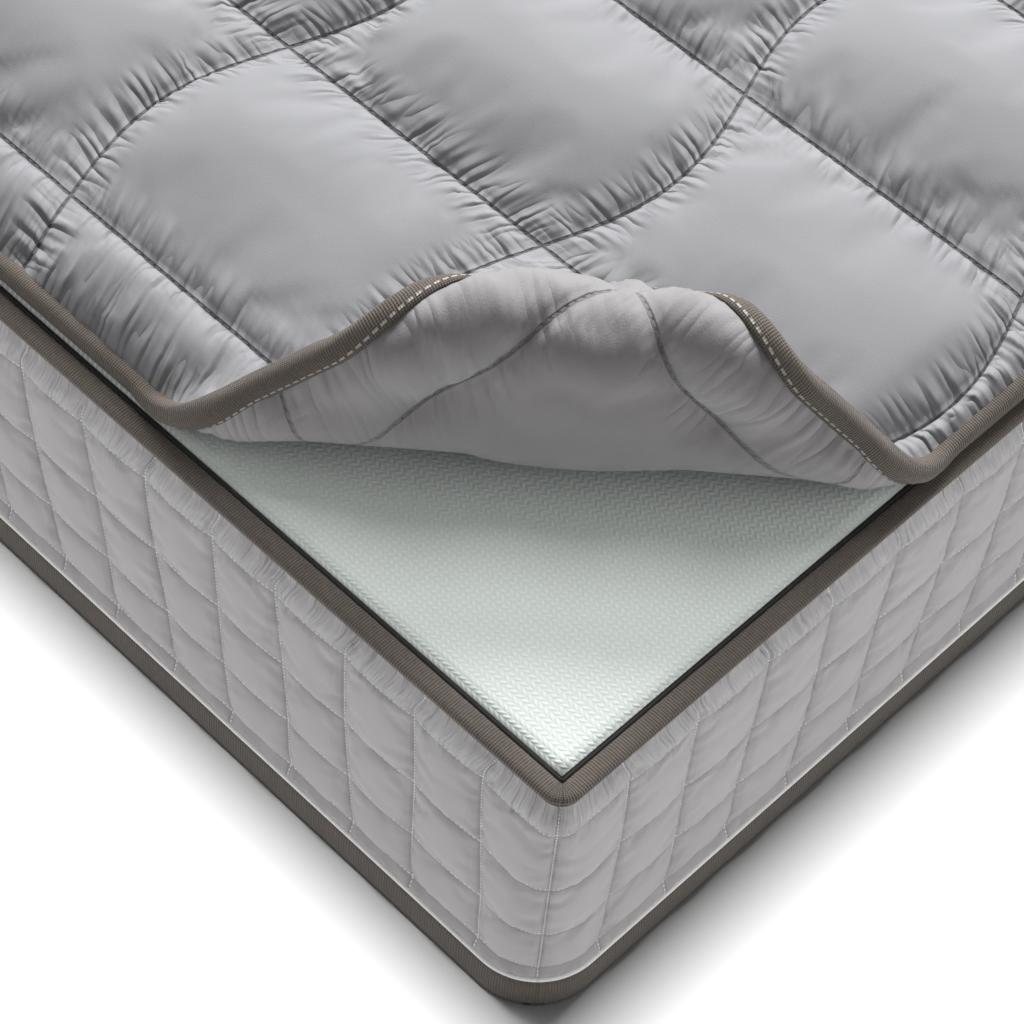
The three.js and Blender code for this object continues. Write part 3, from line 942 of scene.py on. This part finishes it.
for name, facing, material, slot, low_nodes, high_nodes in (
    (
        "quilted_top", 1.0, topper_silver, "topper_cloth",
        ["topper_top_cloth", "topper_fill", "riser_top_cloth", "riser_fill"],
        ["tip_top_cloth", "tip_fill"],
    ),
    (
        "quilted_under", -1.0, under_lilac, "under_cloth",
        ["topper_under_cloth", "riser_under_cloth"], ["tip_under_cloth"],
    ),
):
    mesh, i, j = sheet_of_points(len(columns), len(rows))
    c, r = columns[i], rows[j]
    moved = pick(pad_moves, trial_a, trial_b, trial_column(c), trial_row(r))
    side_shift = np.where(r > FIRST_B + CELLS_B * CELL_B, -1.0, 1.0)
    a = waved(c, r, WIDE) + moved[:, 0]
    b = r + moved[:, 1] * side_shift
    edge = np.minimum(np.minimum(a, WIDE - a), np.minimum(b, LONG - b))
    a, b = rounded(np.clip(a, 0, WIDE), np.clip(b, 0, LONG))
    x, y = CORNER.x - a, CORNER.y + b
    s = P0 - from_corner(x, y)[0]
    part_a = np.where(c < FIRST_A, c / FIRST_A, ((c - FIRST_A) / CELL_A) % 1.0)
    part_b = np.where(r < FIRST_B, r / FIRST_B, ((r - FIRST_B) / CELL_B) % 1.0)
    pillow = np.sin(np.pi * part_a) * np.sin(np.pi * part_b)
    blown = np.clip(moved[:, 2] / 0.0190, 0.0, 1.0)
    lift = 0.0158 * (0.55 * blown ** 0.7 + 0.45 * np.clip(pillow, 0.0, 1.0) ** 0.55)
    lift = lift * (soft_step(edge, 0.001, 0.014) if facing > 0 else soft_step(edge, 0.004, 0.022))
    if facing < 0:
        in_bend = soft_step(s, -0.035, -0.004) * (1 - soft_step(s, 0.036, 0.062))
        in_bend = in_bend * soft_step(edge, 0.002, 0.02)
        lift = lift + (np.maximum(lift, 0.0115) - lift) * in_bend
    sink = edge_sink(edge, s)
    room = HALF_PAD - np.abs(sink) * 0.4 - 0.0004
    h = sink + facing * (0.0021 + lift)
    h = np.clip(h, -room if facing < 0 else -HALF_PAD, HALF_PAD)
    if facing > 0:
        h = h + 0.0055 * (lift / 0.0158) ** 1.5 * (1 - soft_step(s, -0.17, -0.09))
    h = np.maximum(h, -HALF_PAD + 0.0004)
    flat_points = np.stack([x, y, MIDDLE + h], 1)
    final_points = turned_back(x, y, h)
    lay_out(mesh, final_points, c, r)
    if facing > 0:
        mesh.flip_normals()
    half_pieces = cut_at_riser(
        name, mesh, s, material, low_nodes, high_nodes, flat_points, final_points
    )
    for piece in half_pieces:
        leave_out(sides_only, piece)


# The topper's binding: ribbed taupe tape folded over the pad's raw edge and sewn through, with a
# line of pale stitches near its inner edge on both faces.
binding_tape = ribbed_tape(
    "binding_taupe", (0.030, 0.024, 0.019), (0.185, 0.156, 0.132), 0.0014, dash=0.0048, dash_at=0.0262
)
BINDING = [
    (-0.0092, 0.0046), (-0.0076, 0.0054), (-0.0045, 0.0057), (-0.0015, 0.0050), (-0.0002, 0.0031),
    (0.0002, 0.0),
    (-0.0002, -0.0033), (-0.0015, -0.0055), (-0.0045, -0.0066), (-0.0080, -0.0067), (-0.0106, -0.0060),
    (-0.0108, -0.0046), (-0.0060, -0.0052), (-0.0018, -0.0034), (-0.0014, 0.0), (-0.0018, 0.0032),
    (-0.0055, 0.0044), (-0.0094, 0.0034),
]
whole = bmesh.new()
loop = np.array([*BINDING, BINDING[0]])
length = np.concatenate([[0.0], np.cumsum(np.hypot(*np.diff(loop, axis=0).T))])
for side, turn, long_way in SIDES:
    t = steps_along(long_way, 0.0045)
    mesh, i, j = sheet_of_points(len(t), len(loop))
    x, y = round_the_side(turn, long_way, TOPPER_CENTRE, t[i], loop[j, 0], PAD_RADIUS)
    s = P0 - from_corner(x, y)[0]
    h = edge_sink(np.zeros(len(x)), s) + loop[j, 1]
    lay_out(mesh, np.stack([x, y, MIDDLE + h], 1), t[i], length[j])
    whole.from_mesh(mesh)
    bpy.data.meshes.remove(mesh)
bmesh.ops.remove_doubles(whole, verts=whole.verts, dist=2e-5)
bmesh.ops.recalc_face_normals(whole, faces=whole.faces)
binding = bpy.data.meshes.new("binding")
whole.to_mesh(binding)
whole.free()
co = np.empty(len(binding.vertices) * 3)
binding.vertices.foreach_get("co", co)
flat_points = co.reshape(-1, 3)
x, y, h = flat_points[:, 0], flat_points[:, 1], flat_points[:, 2] - MIDDLE
s = P0 - from_corner(x, y)[0]
cut_at_riser(
    "bound_edge", binding, s, binding_tape,
    ["topper_binding_foot", "topper_binding_right", "topper_binding_head", "topper_binding_left",
     "riser_binding_foot", "riser_binding_right"],
    ["tip_binding_foot", "tip_binding_right"], flat_points, turned_back(x, y, h),
)
